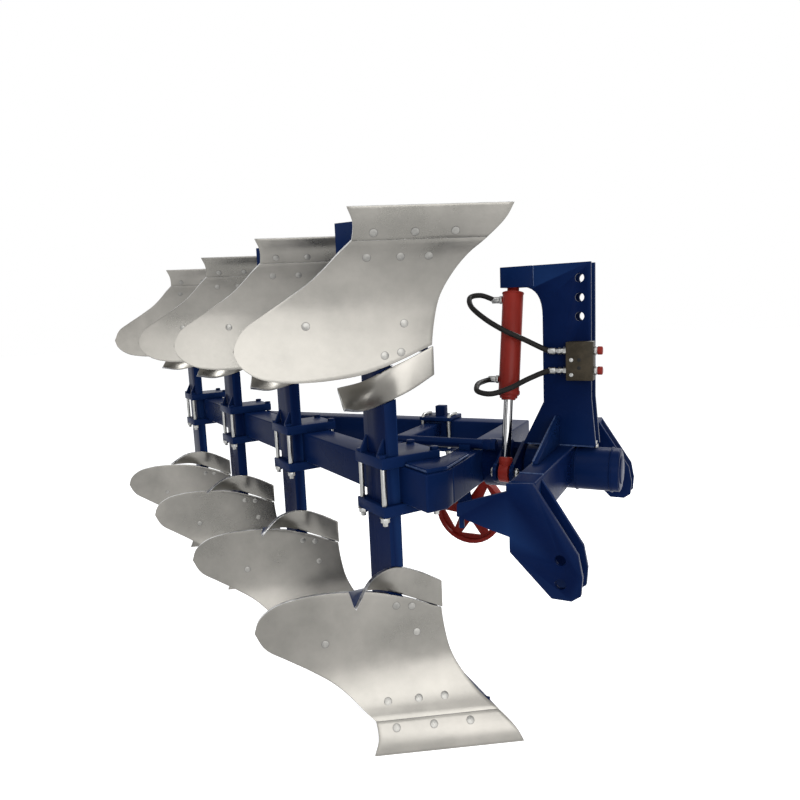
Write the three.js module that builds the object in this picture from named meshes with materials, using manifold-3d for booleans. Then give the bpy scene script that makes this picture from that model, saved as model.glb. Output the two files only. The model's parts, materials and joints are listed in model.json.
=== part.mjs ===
// Reversible (turnover) mouldboard plough with four pairs of bodies.
// Millimetres, +Z up, +X in the direction of travel, +Y to the left.
// The ground is at z = 0 and the turnover axis runs along X at y = 0, z = axisHeight.

import * as THREE from 'three';
import { mergeVertices } from 'three/addons/utils/BufferGeometryUtils.js';
import Module from 'manifold-3d';

const wasm = await Module();
wasm.setup();

// ---------------------------------------------------------------- driving dimensions

const axisHeight = 850; // turnover axis above the ground
const seat = 0.3; // gap between pieces that are bolted or welded together
const running = 6; // gap between pieces that move past each other
const pinPlay = 0.8; // radial play of a shaft or rod in its bore

// frame
const bodyCount = 4;
const bodyPitch = 781; // along the main beam, from body to body
const beamAngle = THREE.MathUtils.degToRad(32); // main beam to the direction of travel
const tube = 120; // height and width of the beams
const beamNearX = 55; // near front corner of the main beam
const beamNearY = -465;
const beamOverhang = 190; // main beam behind the centre of the last leg
const crossTubeRear = 10;
const crossTubeFront = 95;
const crossTubeFar = 545;
const sideBeamInner = 445;
const sideBeamWidth = 100;
const sideBeamRear = -1450; // the main beam trims it
const rearTubeX = -315;
const rearTubeWidth = 70;
const rearTubeInset = 10; // below the beam's top face and above its bottom face
const gussetThickness = 14;
const strutRadius = 18;
const strutRear = -245;
const strutFront = 150; // behind the crank, which the rod's eye passes through
const strutY = -80;
const strutFootReach = 18; // onto the main beam

// legs and clamps
const legAlong = 225; // first leg behind the front end of the main beam
const legLength = 140;
const legThickness = 45;
const legFoot = 200; // lower end of the leg above the ground
const clampLength = 180;
const clampThickness = 36;
const clampMargin = 28; // clamp plate beyond the beam and beyond the leg
const clampBoltRadius = 9;
const clampBoltSpacing = 146;
const clampBoltReach = 66; // bolt end beyond the beam's face

// bodies
const landY = -295; // landside plane
const plateThickness = 10;
const shareTop = 92;
const shareWing = 488; // length of the cutting edge
const shareHeel = 405; // length of the share's upper edge
const landsideFront = 170;
const landsideLength = 500;
const landsideHeight = 110;
const landsideThickness = 14;
const frogThickness = 34;
const frogGap = 2; // plates overlap the frog by this much before they are cut out of it
const plateRoom = 120; // kept free of the leg in front of the plates
const edgeRoom = 0.01; // the same beyond their edges, as a share of their height
const trashEndRoom = 3; // kept free beyond the trash board's ends
const trashEdgeRoom = 0.02; // and beyond its long edges, as a share of its height
const trashSeat = 0.7; // between a trash board's curved back and the leg
const moldboardSteps = [8, 5];
const shareSteps = [3, 2];
const trashSteps = [18, 1];

// headstock, with its heights from the turnover axis
const hitchOuter = 547; // outer face of the outer hitch plates
const hitchPlate = 16;
const hitchGap = 60; // between the inner and outer plate of a pair
const linkPinX = 471;
const linkPinZ = axisHeight - 119;
const linkPinRadius = 15;
const spareHoleZ = axisHeight - 185;
const stopBoltX = 194;
const stopBoltZ = axisHeight - 28; // lower edge of the stop arm there
const stopBoltRadius = 8;
const stopBoltReach = 34;
const crossbeamRear = 332;
const crossbeamFront = 404;
const hubRadius = 72;
const crossbeamBottom = axisHeight - 38;
const crossbeamTop = axisHeight + hubRadius + 10;
const hubRear = 242;
const hubFront = 548;
const mastGap = 56; // between the two mast plates
const mastPlate = 14;
const mastTop = axisHeight + 681;
const mastFront = 462;
const mastRear = 306;
const mastFootRear = 234;
const mastArchRear = 243; // clear of the swaying cylinder
const mastArchDrop = 100;
const topLinkX = 426;
const topLinkZ = [632, 570, 509].map((height) => axisHeight + height);
const topLinkRadius = 15;
const mastGussetWidth = 295;
const mastGussetHeight = 100;
const mastGussetLip = 8;
const mastGussetX = 345;
const bracketHalf = 52; // half the width of the cylinder's bracket
const bracketWall = 12;
const bracketBottom = axisHeight + 613;
const valveRear = 390;
const valveFront = 476;
const valveDepth = 45;
const valveBottom = axisHeight + 305;
const valveTop = axisHeight + 430;
const fittingLength = 38;
const fittingZ = { upper: axisHeight + 400, lower: axisHeight + 336 };
const capLength = 26;
const capRadius = 13;
const hoseRadius = 9;
const hoseLead = 12; // straight run out of each fitting

// turnover cylinder and crank
const crankPlane = 198; // x of the cylinder
const crankRadius = 140;
const cylinderPinZ = axisHeight + 640;
const barrelRadius = 35;
const topPinRadius = 14;
const barrelTop = 46; // from the top pin
const barrelLength = 350;
const rodRadius = 16;
const rodStroke = 155;
const eyeRadius = 32;
const eyeThickness = 34;
const crankPlate = 12;
const crankLobe = 34; // radius of the crank round its pin
const ringRadius = 84;
const ringBore = 60; // the rod's eye passes through it
const ringHalfAngle = THREE.MathUtils.degToRad(52);
const shaftRadius = 46;
const shaftFront = 515;

// depth wheel
const wheelRadius = 165;
const wheelWidth = 60;
const wheelY = 634;
const wheelHubRadius = 42;
const wheelDisc = 12;
const rimThickness = 16;
const spokeCount = 6;
const armLength = 401;
const armAngle = THREE.MathUtils.degToRad(11.5); // forward of straight down
const armThickness = 20;
const armY = 584;
const armPivotEnd = 42; // radii of the arm's two ends
const armWheelEnd = 32;
const pivotRadius = 20;
const axleRadius = 18;
const wheelBracketX = -300;
const wheelBracketHalf = 75;
const wheelBracketPlate = 16;

// ---------------------------------------------------------------- materials

function finish(color, roughness, metalness) {
  return new THREE.MeshStandardMaterial({ color, roughness, metalness });
}

const bluePaint = finish(0x1a2f6b, 0.4, 0);
const redPaint = finish(0xb02420, 0.4, 0);
const bareSteel = finish(0xb8bab9, 0.4, 1);
const chrome = finish(0xe2e4e6, 0.1, 1);
const darkMetal = finish(0x4b453c, 0.5, 1);
const rubber = finish(0x151515, 0.8, 0);

// ---------------------------------------------------------------- solids

function toSolid(geometry) {
  const bare = geometry.clone();
  bare.deleteAttribute('normal');
  bare.deleteAttribute('uv');
  const merged = mergeVertices(bare, 1e-3);
  const corners = merged.index.array;
  const faces = [];
  for (let i = 0; i < corners.length; i += 3) {
    const [a, b, c] = corners.slice(i, i + 3);
    if (a !== b && b !== c && c !== a) faces.push(a, b, c);
  }
  return new wasm.Manifold(new wasm.Mesh({
    numProp: 3,
    vertProperties: new Float32Array(merged.attributes.position.array),
    triVerts: new Uint32Array(faces),
  }));
}

function toGeometry(solid) {
  const mesh = solid.getMesh();
  const geometry = new THREE.BufferGeometry();
  const positions = new Float32Array(mesh.vertProperties);
  geometry.setAttribute('position', new THREE.BufferAttribute(positions, 3));
  geometry.setIndex(new THREE.BufferAttribute(new Uint32Array(mesh.triVerts), 1));
  const flat = geometry.toNonIndexed();
  flat.computeVertexNormals();
  return flat;
}

function join(first, ...rest) {
  return rest.reduce((whole, part) => whole.add(part), first);
}

// A block between two opposite corners.
function block(x0, x1, y0, y1, z0, z1) {
  const geometry = new THREE.BoxGeometry(x1 - x0, y1 - y0, z1 - z0);
  geometry.translate((x0 + x1) / 2, (y0 + y1) / 2, (z0 + z1) / 2);
  return toSolid(geometry);
}

// A round bar between two points.
function bar(from, to, radius, sides = 20) {
  const start = new THREE.Vector3(...from);
  const way = new THREE.Vector3(...to).sub(start);
  const geometry = new THREE.CylinderGeometry(radius, radius, way.length(), sides);
  geometry.translate(0, way.length() / 2, 0);
  const turn = new THREE.Quaternion();
  turn.setFromUnitVectors(new THREE.Vector3(0, 1, 0), way.normalize());
  geometry.applyQuaternion(turn);
  geometry.translate(start.x, start.y, start.z);
  return toSolid(geometry);
}

function outline(points) {
  return new THREE.Shape(points.map(([u, v]) => new THREE.Vector2(u, v)));
}

// The corners of a round outline, with no corner given twice.
function circle(u, v, radius, sides = 20) {
  return Array.from({ length: sides }, (_, i) => {
    const angle = 2 * Math.PI * i / sides;
    return new THREE.Vector2(u + radius * Math.cos(angle), v + radius * Math.sin(angle));
  });
}

function addHole(shape, u, v, radius) {
  shape.holes.push(new THREE.Path(circle(u, v, radius)));
}

// A plate whose outline is drawn in X and Z, with its lower y given.
function uprightPlate(shape, y, thickness, curveSegments = 8) {
  const options = { depth: thickness, bevelEnabled: false, curveSegments };
  const geometry = new THREE.ExtrudeGeometry(shape, options);
  geometry.rotateX(Math.PI / 2);
  geometry.translate(0, y + thickness, 0);
  return toSolid(geometry);
}

// A plate whose outline is drawn in X and Y, with its lower z given.
function flatPlate(shape, z, thickness, curveSegments = 8) {
  const options = { depth: thickness, bevelEnabled: false, curveSegments };
  const geometry = new THREE.ExtrudeGeometry(shape, options);
  geometry.translate(0, 0, z);
  return toSolid(geometry);
}

// A plate whose outline is drawn in Y and Z, with its rear x given.
function crossPlate(shape, x, thickness, curveSegments = 8) {
  const options = { depth: thickness, bevelEnabled: false, curveSegments };
  const geometry = new THREE.ExtrudeGeometry(shape, options);
  const swap = new THREE.Matrix4().set(0, 0, 1, 0, 1, 0, 0, 0, 0, 1, 0, 0, 0, 0, 0, 1);
  geometry.applyMatrix4(swap);
  geometry.translate(x, 0, 0);
  return toSolid(geometry);
}

// A closed shell between a front and a back surface, both given as functions of u and v in 0..1.
function shell(front, back, stepsU, stepsV) {
  const corners = [];
  for (const side of [front, back]) {
    for (let i = 0; i <= stepsU; i += 1) {
      for (let j = 0; j <= stepsV; j += 1) {
        corners.push(...side(i / stepsU, j / stepsV));
      }
    }
  }
  const row = stepsV + 1;
  const layer = (stepsU + 1) * row;
  const faces = [];
  const quad = (a, b, c, d) => faces.push(a, b, c, a, c, d);
  for (let i = 0; i < stepsU; i += 1) {
    for (let j = 0; j < stepsV; j += 1) {
      const a = i * row + j;
      quad(a, a + 1, a + row + 1, a + row);
      quad(layer + a, layer + a + row, layer + a + row + 1, layer + a + 1);
    }
  }
  for (let i = 0; i < stepsU; i += 1) {
    const first = i * row;
    const last = first + stepsV;
    quad(first, first + row, layer + first + row, layer + first);
    quad(last, layer + last, layer + last + row, last + row);
  }
  for (let j = 0; j < stepsV; j += 1) {
    const last = stepsU * row + j;
    quad(j, layer + j, layer + j + 1, j + 1);
    quad(last, last + 1, layer + last + 1, layer + last);
  }
  const geometry = new THREE.BufferGeometry();
  geometry.setAttribute('position', new THREE.Float32BufferAttribute(corners, 3));
  geometry.setIndex(faces);
  const solid = toSolid(geometry);
  if (solid.volume() > 0) return solid;
  geometry.setIndex(faces.toReversed());
  return toSolid(geometry);
}

// ---------------------------------------------------------------- assembly

const plough = new THREE.Group();

function addPiece(name, solid, material, parent = plough) {
  const piece = new THREE.Mesh(toGeometry(solid), material);
  piece.name = name;
  parent.add(piece);
}

// The upper bodies are the lower ones mirrored through the plane of the turnover axis.
const lowerSide = new THREE.Group();
const upperSide = new THREE.Group();
upperSide.scale.set(1, 1, -1);
upperSide.position.z = 2 * axisHeight;
plough.add(lowerSide, upperSide);

// ---------------------------------------------------------------- headstock

const hitchInner = hitchOuter - 2 * hitchPlate - hitchGap;

// The outer plates reach back under the frame's cross tube as stop arms. Heights in both
// outlines are from the turnover axis.
const stopArmPoints = [[289, -59], [182, stopBoltZ - axisHeight], [184, 7], [327, 55]];

function hitchOutline(armPoints = []) {
  const shape = outline([
    [328, 78],
    [400, 82],
    [517, -100],
    [528, -160],
    [524, -210],
    [500, -228],
    [447, -228],
    [334, -113],
    [334, -71],
    ...armPoints,
  ].map(([x, height]) => [x, axisHeight + height]));
  addHole(shape, linkPinX, linkPinZ, linkPinRadius);
  addHole(shape, linkPinX, spareHoleZ, linkPinRadius);
  return shape;
}

function addHitchPair(side, name) {
  const outerY = side > 0 ? hitchOuter - hitchPlate : -hitchOuter;
  const innerY = side > 0 ? hitchInner : -hitchInner - hitchPlate;
  const boltY = outerY + hitchPlate / 2;
  const stopBolt = bar(
    [stopBoltX, boltY, stopBoltZ - stopBoltReach], [stopBoltX, boltY, stopBoltZ + 4],
    stopBoltRadius, 10,
  );
  const outer = uprightPlate(hitchOutline(stopArmPoints), outerY, hitchPlate);
  addPiece(`hitch_outer_${name}`, outer.add(stopBolt), bluePaint);
  const beamHole = block(
    crossbeamRear - 60, crossbeamFront + seat,
    innerY - 1, innerY + hitchPlate + 1,
    crossbeamBottom - seat, crossbeamTop + 20,
  );
  const inner = uprightPlate(hitchOutline(), innerY, hitchPlate).subtract(beamHole);
  addPiece(`hitch_inner_${name}`, inner, bluePaint);
}

addHitchPair(-1, 'right');
addHitchPair(1, 'left');

const hubCut = bar([0, 0, axisHeight], [900, 0, axisHeight], hubRadius + seat, 32);
const crossbeamEnd = hitchOuter - hitchPlate - seat;
const crossbeam = block(
  crossbeamRear, crossbeamFront,
  -crossbeamEnd, crossbeamEnd,
  crossbeamBottom, crossbeamTop,
);
addPiece('crossbeam', crossbeam.subtract(hubCut), bluePaint);

// The hub is closed at the front and bored from the rear.
const hub = bar([hubRear, 0, axisHeight], [hubFront, 0, axisHeight], hubRadius, 32);
const hubBore = bar(
  [hubRear - 1, 0, axisHeight], [shaftFront + pinPlay, 0, axisHeight],
  shaftRadius + pinPlay, 32,
);
addPiece('turnover_hub', hub.subtract(hubBore), bluePaint);

const bracketRear = crankPlane - 32;
const bracketFront = mastRear - 30;

// Mast plates, with an arched rear edge under the cylinder bracket.
function mastOutline() {
  const shape = new THREE.Shape();
  const foot = crossbeamTop + seat;
  shape.moveTo(mastFootRear, foot);
  shape.lineTo(mastFront + 14, foot);
  shape.lineTo(mastFront, foot + 160);
  shape.lineTo(mastFront, mastTop);
  shape.lineTo(bracketFront + seat, mastTop);
  shape.lineTo(bracketFront + seat, bracketBottom - seat);
  shape.lineTo(mastArchRear, bracketBottom - seat);
  shape.quadraticCurveTo(mastRear, bracketBottom - 8, mastRear, bracketBottom - mastArchDrop);
  shape.lineTo(mastRear, foot + 146);
  shape.lineTo(mastFootRear + 30, foot + 60);
  for (const z of topLinkZ) addHole(shape, topLinkX, z, topLinkRadius);
  return shape;
}

for (const [name, y] of [['right', -mastGap / 2 - mastPlate], ['left', mastGap / 2]]) {
  addPiece(`mast_plate_${name}`, uprightPlate(mastOutline(), y, mastPlate), bluePaint);
}

// Bracket that carries the cylinder's top pin.
const bracketShell = block(
  bracketRear, bracketFront, -bracketHalf, bracketHalf, bracketBottom, mastTop,
);
const bracketRoom = block(
  bracketRear + bracketWall, bracketFront - bracketWall,
  -bracketHalf + bracketWall, bracketHalf - bracketWall,
  bracketBottom - 1, mastTop - bracketWall,
);
const topPin = bar(
  [bracketRear + 1, 0, cylinderPinZ], [bracketFront - 1, 0, cylinderPinZ], topPinRadius, 20,
);
addPiece('cylinder_bracket', bracketShell.subtract(bracketRoom).add(topPin), bluePaint);

for (const [name, side] of [['right', -1], ['left', 1]]) {
  const inner = mastGap / 2 + mastPlate + seat;
  const foot = crossbeamTop + seat;
  const shape = outline([
    [side * inner, foot],
    [side * (inner + mastGussetWidth), foot],
    [side * (inner + mastGussetWidth), foot + mastGussetLip],
    [side * inner, foot + mastGussetHeight],
  ]);
  addPiece(`mast_gusset_${name}`, crossPlate(shape, mastGussetX, gussetThickness), bluePaint);
}

const valveY = -mastGap / 2 - mastPlate - seat;
const fittingY = valveY - valveDepth / 2;
const fittingRadius = hoseRadius + 1;
let valve = block(
  valveRear, valveFront, valveY - valveDepth, valveY, valveBottom, valveTop,
);
for (const z of Object.values(fittingZ)) {
  const fittingRear = [valveRear - fittingLength, fittingY, z];
  const capFront = [valveFront + capLength, fittingY, z];
  valve = join(
    valve,
    bar(fittingRear, [valveRear + 1, fittingY, z], fittingRadius, 12),
    bar([valveFront - 1, fittingY, z], capFront, capRadius, 12),
  );
}
addPiece('valve_block', valve, darkMetal);

// ---------------------------------------------------------------- turnover cylinder

const lean = Math.asin(crankRadius / Math.hypot(crankRadius, cylinderPinZ - axisHeight));
const pinDistance = Math.hypot(crankRadius, cylinderPinZ - axisHeight);
const cylinder = new THREE.Group();
cylinder.position.set(crankPlane, 0, cylinderPinZ);
cylinder.rotation.x = -lean;
plough.add(cylinder);

const barrelEnd = barrelTop + barrelLength;
const rodTopRetracted = barrelTop + 30;
const portDepth = { upper: barrelTop + 22, lower: barrelEnd - 55 };
const portReach = barrelRadius + 13;
const barrel = join(
  bar([0, 0, -barrelTop], [0, 0, -barrelEnd], barrelRadius, 28),
  bar([0, 0, -barrelTop - 5], [0, 0, 0], 20, 16),
  bar([-eyeThickness / 2, 0, 0], [eyeThickness / 2, 0, 0], 26, 20),
  ...Object.values(portDepth).map((depth) => bar(
    [-portReach, 0, -depth], [-barrelRadius + 8, 0, -depth], fittingRadius, 12,
  )),
);
const topPinBore = bar([-40, 0, 0], [40, 0, 0], topPinRadius + pinPlay, 20);
const barrelBore = bar(
  [0, 0, -barrelEnd - 1], [0, 0, -rodTopRetracted + pinPlay], rodRadius + pinPlay, 20,
);
addPiece('cylinder_barrel', barrel.subtract(barrelBore).subtract(topPinBore), redPaint, cylinder);

const rod = join(
  bar([0, 0, -rodTopRetracted - rodStroke], [0, 0, -pinDistance + eyeRadius - 6], rodRadius, 20),
  bar([-eyeThickness / 2, 0, -pinDistance], [eyeThickness / 2, 0, -pinDistance], eyeRadius, 24),
);
addPiece('cylinder_rod', rod, chrome, cylinder);

// ---------------------------------------------------------------- turnover rotor

const crankGap = eyeThickness / 2 + running;
const frontPlateX = crankPlane + crankGap;
const rearPlateX = crankPlane - crankGap - crankPlate;
const bossRear = crossTubeFront + seat;

function crankOutline() {
  const shape = new THREE.Shape();
  shape.absarc(0, axisHeight, ringRadius, -Math.PI * 0.6, Math.PI * 0.6, false);
  shape.lineTo(-crankRadius, axisHeight + crankLobe);
  shape.absarc(-crankRadius, axisHeight, crankLobe, Math.PI / 2, -Math.PI / 2, false);
  return shape;
}

// Arc that joins the two crank plates round the path of the rod's eye.
const arcShape = new THREE.Shape();
arcShape.absarc(0, axisHeight, ringRadius, -ringHalfAngle, ringHalfAngle, false);
arcShape.absarc(0, axisHeight, ringBore, ringHalfAngle, -ringHalfAngle, true);
const rotor = join(
  crossPlate(crankOutline(), frontPlateX, crankPlate, 12),
  crossPlate(crankOutline(), rearPlateX, crankPlate, 12),
  bar([bossRear, 0, axisHeight], [rearPlateX + 1, 0, axisHeight], ringRadius, 32),
  crossPlate(arcShape, rearPlateX + 1, frontPlateX - rearPlateX, 12),
  bar([frontPlateX + 1, 0, axisHeight], [shaftFront, 0, axisHeight], shaftRadius, 32),
);
addPiece('turnover_rotor', rotor, bluePaint);

// ---------------------------------------------------------------- beams

const beamBottom = axisHeight - tube / 2;
const beamTop = axisHeight + tube / 2;
const backX = -Math.cos(beamAngle); // rearward along the main beam
const backY = Math.sin(beamAngle);
const nearX = -Math.sin(beamAngle); // across the main beam, to its near side
const nearY = -Math.cos(beamAngle);

// A point at a distance along the main beam and across it from its near front corner.
function onBeam(along, across) {
  return [
    beamNearX + along * backX + across * nearX,
    beamNearY + along * backY + across * nearY,
  ];
}

// A block along the main beam: along, across and up.
function beamBlock(a0, a1, c0, c1, z0, z1) {
  const shape = outline([onBeam(a0, c0), onBeam(a1, c0), onBeam(a1, c1), onBeam(a0, c1)]);
  return flatPlate(shape, z0, z1 - z0);
}

const beamLength = legAlong + (bodyCount - 1) * bodyPitch + beamOverhang;
const frontTrim = block(crossTubeFront, 900, -900, 900, beamBottom - 9, beamTop + 9);
const mainBeam = beamBlock(0, beamLength, -tube, 0, beamBottom, beamTop);
addPiece('main_beam', mainBeam.subtract(frontTrim), bluePaint);

const mainBeamTrim = beamBlock(
  -600, beamLength, -tube - seat, 600, beamBottom - 9, beamTop + 9,
);
const crossTube = block(
  crossTubeRear, crossTubeFront, -600, crossTubeFar, beamBottom, beamTop,
);
addPiece('front_cross_tube', crossTube.subtract(mainBeamTrim), bluePaint);

const clampBoltOut = clampMargin / 2 + 2; // from the face of the beam or the leg

// The four bolts of a clamp whose leg stands at a distance along the main beam.
function clampBolts(along, radius) {
  const bolts = [];
  for (const across of [legThickness + clampBoltOut, -tube - clampBoltOut]) {
    for (const offset of [-clampBoltSpacing / 2, clampBoltSpacing / 2]) {
      const [x, y] = onBeam(along + offset, across);
      const low = [x, y, beamBottom - clampBoltReach];
      const high = [x, y, beamTop + clampBoltReach];
      bolts.push(bar(low, high, radius, 8));
    }
  }
  return join(...bolts);
}

const sideOuter = sideBeamInner + sideBeamWidth;
let sideBeam = block(
  sideBeamRear, crossTubeRear - seat, sideBeamInner, sideOuter, beamBottom, beamTop,
).subtract(mainBeamTrim);
for (let i = 0; i < bodyCount; i += 1) {
  sideBeam = sideBeam.subtract(clampBolts(legAlong + i * bodyPitch, clampBoltRadius + pinPlay));
}
addPiece('side_beam', sideBeam, bluePaint);

const rearTube = block(
  rearTubeX - rearTubeWidth / 2, rearTubeX + rearTubeWidth / 2,
  -600, sideBeamInner - seat, beamBottom + rearTubeInset, beamTop - rearTubeInset,
);
addPiece('rear_cross_tube', rearTube.subtract(mainBeamTrim), bluePaint);

// The strut's rear foot reaches from the strut over the far edge of the main beam.
const strutZ = beamTop + seat + strutRadius + 1;
const strutFoot = onBeam(
  (strutRear + 30 - beamNearX + tube * nearX) / backX, -tube,
)[1] - strutFootReach;
const strut = join(
  bar([strutRear, strutY, strutZ], [strutFront, strutY, strutZ], strutRadius, 16),
  block(strutRear + 10, strutRear + 50, strutFoot, strutY, beamTop + seat, strutZ),
  block(20, 60, strutY - 24, strutY + 24, beamTop + seat, strutZ),
);
addPiece('adjuster_strut', strut, bluePaint);

const cornerEnd = legAlong - clampLength / 2 - running; // along the main beam
const cornerShape = new THREE.Shape();
cornerShape.moveTo(crossTubeFront - 4, -390);
cornerShape.lineTo(crossTubeFront - 4, -200);
cornerShape.lineTo(crossTubeRear + 24, -190);
cornerShape.quadraticCurveTo(crossTubeRear + 26, -285, ...onBeam(cornerEnd, -tube + 20));
cornerShape.lineTo(...onBeam(cornerEnd, -10));
cornerShape.lineTo(...onBeam(10, -10));
addPiece('corner_gusset', flatPlate(cornerShape, beamTop + seat, gussetThickness), bluePaint);

// ---------------------------------------------------------------- body surfaces

const shinCurve = new THREE.CatmullRomCurve3([
  new THREE.Vector3(293, 0, 0),
  new THREE.Vector3(268, 0, 40),
  new THREE.Vector3(208, 0, shareTop),
  new THREE.Vector3(147, 0, 134),
  new THREE.Vector3(92, 0, 190),
  new THREE.Vector3(47, 0, 259),
  new THREE.Vector3(25, 0, 339),
  new THREE.Vector3(15, 0, 420),
  new THREE.Vector3(12, 0, 520),
]);
const shinPoints = shinCurve.getPoints(60);

// The leading edge of a body: x at a height above the ground.
function shinX(z) {
  const upper = shinPoints.findIndex((point) => point.z >= z);
  const index = upper < 1 ? 1 : upper;
  const low = shinPoints[index - 1];
  const high = shinPoints[index];
  return low.x + (high.x - low.x) * (z - low.z) / (high.z - low.z);
}

// The level lines of the body turn outward with height.
function levelAngle(z) {
  return THREE.MathUtils.degToRad(32 + 5 * Math.max(z - 40, 0) / 360);
}

// A point on a body: height, distance behind the leading edge, depth behind the front face.
function onBody(z, distance, depth) {
  const angle = levelAngle(z);
  const slope = (shinX(z + 5) - shinX(z)) / 5;
  const level = depth * Math.hypot(1, slope * Math.sin(angle));
  return [
    shinX(z) - distance * Math.cos(angle) - level * Math.sin(angle),
    landY - distance * Math.sin(angle) + level * Math.cos(angle),
    z,
  ];
}

function smooth(points) {
  const curve = new THREE.CatmullRomCurve3(
    points.map(([a, b]) => new THREE.Vector3(a, b, 0)), false, 'centripetal',
  );
  return (t) => {
    const point = curve.getPointAt(t);
    return [point.x, point.y];
  };
}

// Lower and upper edge of the moldboard, as height and distance behind the leading edge.
const shinBottomZ = shareTop + seat;
const moldboardTail = smooth([
  [shinBottomZ, shareHeel],
  [150, 405],
  [200, 425],
  [250, 475],
  [295, 535],
  [340, 592],
  [400, 616],
]);
const moldboardUpper = smooth([
  [410, 0],
  [459, 115],
  [492, 222],
  [502, 293],
  [507, 380],
  [503, 466],
  [484, 545],
  [445, 596],
  [400, 616],
]);

function moldboardLower(u) {
  if (u < 0.5) return [shinBottomZ, 2 * u * shareHeel];
  return moldboardTail(2 * u - 1);
}

function moldboardFace(depth, margin = 0) {
  return (u, v) => {
    const [lowZ, lowS] = moldboardLower(u);
    const [highZ, highS] = moldboardUpper(u);
    const w = v + margin * (2 * v - 1);
    return onBody(lowZ + (highZ - lowZ) * w, lowS + (highS - lowS) * w, depth);
  };
}

function shareFace(depth) {
  return (u, v) => onBody(
    shareTop * v, (shareWing + (shareHeel - shareWing) * v) * u, depth,
  );
}

function bodyPatch(z0, z1, s0, s1, depth) {
  return (u, v) => onBody(z0 + (z1 - z0) * v, s0 + (s1 - s0) * u, depth);
}

// Trash board: a bent plate over the moldboard, from the leading edge out to its free end.
const trashLow = new THREE.CatmullRomCurve3([
  new THREE.Vector3(20, landY, 413),
  new THREE.Vector3(-40, -341, 447),
  new THREE.Vector3(-104, -386, 479),
  new THREE.Vector3(-154, -449, 509),
  new THREE.Vector3(-198, -533, 521),
]);
const trashHigh = new THREE.CatmullRomCurve3([
  new THREE.Vector3(20, landY, 505),
  new THREE.Vector3(-39, -350, 550),
  new THREE.Vector3(-90, -405, 578),
  new THREE.Vector3(-103, -530, 588),
  new THREE.Vector3(-78, -686, 558),
]);

// With room, the face reaches that far beyond the plate's ends and a little past its edges.
function trashFace(depth, room = 0) {
  return (u, v) => {
    const low = trashLow.getPointAt(u);
    const high = trashHigh.getPointAt(u);
    const along = trashLow.getTangentAt(u);
    const up = high.clone().sub(low).normalize();
    const out = up.cross(along).normalize();
    const height = v + Math.sign(room) * trashEdgeRoom * (2 * v - 1);
    const point = low.lerp(high, height).addScaledVector(out, depth);
    const end = Math.trunc(2 * u - 1);
    return point.addScaledVector(along, end * room).toArray();
  };
}

// ---------------------------------------------------------------- bodies, legs and clamps

// The lower half of a leg, to the height of the turnover axis.
function legSolid() {
  return beamBlock(
    legAlong - legLength / 2, legAlong + legLength / 2,
    seat, seat + legThickness,
    legFoot, axisHeight,
  );
}

function frogSolid() {
  const slab = shell(
    bodyPatch(30, 430, 12, 250, frogGap),
    bodyPatch(30, 430, 12, 250, plateThickness + frogThickness),
    3, 5,
  );
  const landBack = landY + plateThickness + frogGap;
  const landside = block(
    landsideFront - landsideLength, landsideFront,
    landBack, landBack + landsideThickness,
    0, landsideHeight,
  );
  return join(slab, landside);
}

const frontRoom = join(
  shell(
    moldboardFace(-plateRoom, edgeRoom), moldboardFace(plateThickness + seat, edgeRoom),
    ...moldboardSteps,
  ),
  shell(shareFace(-plateRoom), shareFace(plateThickness + seat), ...shareSteps),
  shell(
    trashFace(plateRoom, trashEndRoom),
    trashFace(-plateThickness - trashSeat, trashEndRoom),
    ...trashSteps,
  ),
);

// The same solid mirrored through the level plane of the turnover axis.
function mirrored(solid) {
  const geometry = toGeometry(solid);
  geometry.scale(1, 1, -1);
  geometry.translate(0, 0, 2 * axisHeight);
  const corners = geometry.attributes.position.count;
  geometry.setIndex(Array.from({ length: corners }, (_, i) => corners - 1 - i));
  return toSolid(geometry);
}

function clampSolid() {
  const a0 = legAlong - clampLength / 2;
  const a1 = legAlong + clampLength / 2;
  const nearEdge = legThickness + clampMargin;
  const farEdge = -tube - clampMargin;
  const legRoom = beamBlock(
    legAlong - legLength / 2 - seat, legAlong + legLength / 2 + seat,
    0, legThickness + 2 * seat, beamBottom - 200, beamTop + 200,
  );
  const topFoot = beamTop + seat;
  const top = beamBlock(a0, a1, farEdge, nearEdge, topFoot, topFoot + clampThickness);
  const bottom = beamBlock(
    a0, a1, farEdge, nearEdge, beamBottom - seat - clampThickness, beamBottom - seat,
  );
  return join(top, bottom, clampBolts(legAlong, clampBoltRadius)).subtract(legRoom);
}

const lowerLeg = legSolid().add(frogSolid()).subtract(frontRoom);
const wholeLeg = lowerLeg.add(mirrored(lowerLeg));

for (let i = 0; i < bodyCount; i += 1) {
  const x = i * bodyPitch * backX;
  const y = i * bodyPitch * backY;
  const number = i + 1;
  const lower = new THREE.Group();
  const upper = new THREE.Group();
  lower.position.set(x, y, 0);
  upper.position.set(x, y, 0);
  lowerSide.add(lower);
  upperSide.add(upper);

  addPiece(`leg_${number}`, wholeLeg, bluePaint, lower);
  addPiece(`clamp_${number}`, clampSolid(), bluePaint, lower);

  const depth = plateThickness;
  const moldboard = shell(moldboardFace(0), moldboardFace(depth), ...moldboardSteps);
  const share = shell(shareFace(0), shareFace(depth), ...shareSteps);
  const trashBoard = shell(trashFace(0), trashFace(-depth), ...trashSteps);
  for (const [level, group] of [['lower', lower], ['upper', upper]]) {
    addPiece(`moldboard_${level}_${number}`, moldboard, bareSteel, group);
    addPiece(`share_${level}_${number}`, share, bareSteel, group);
    addPiece(`trashboard_${level}_${number}`, trashBoard, bareSteel, group);
  }
}

// ---------------------------------------------------------------- depth wheel

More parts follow.
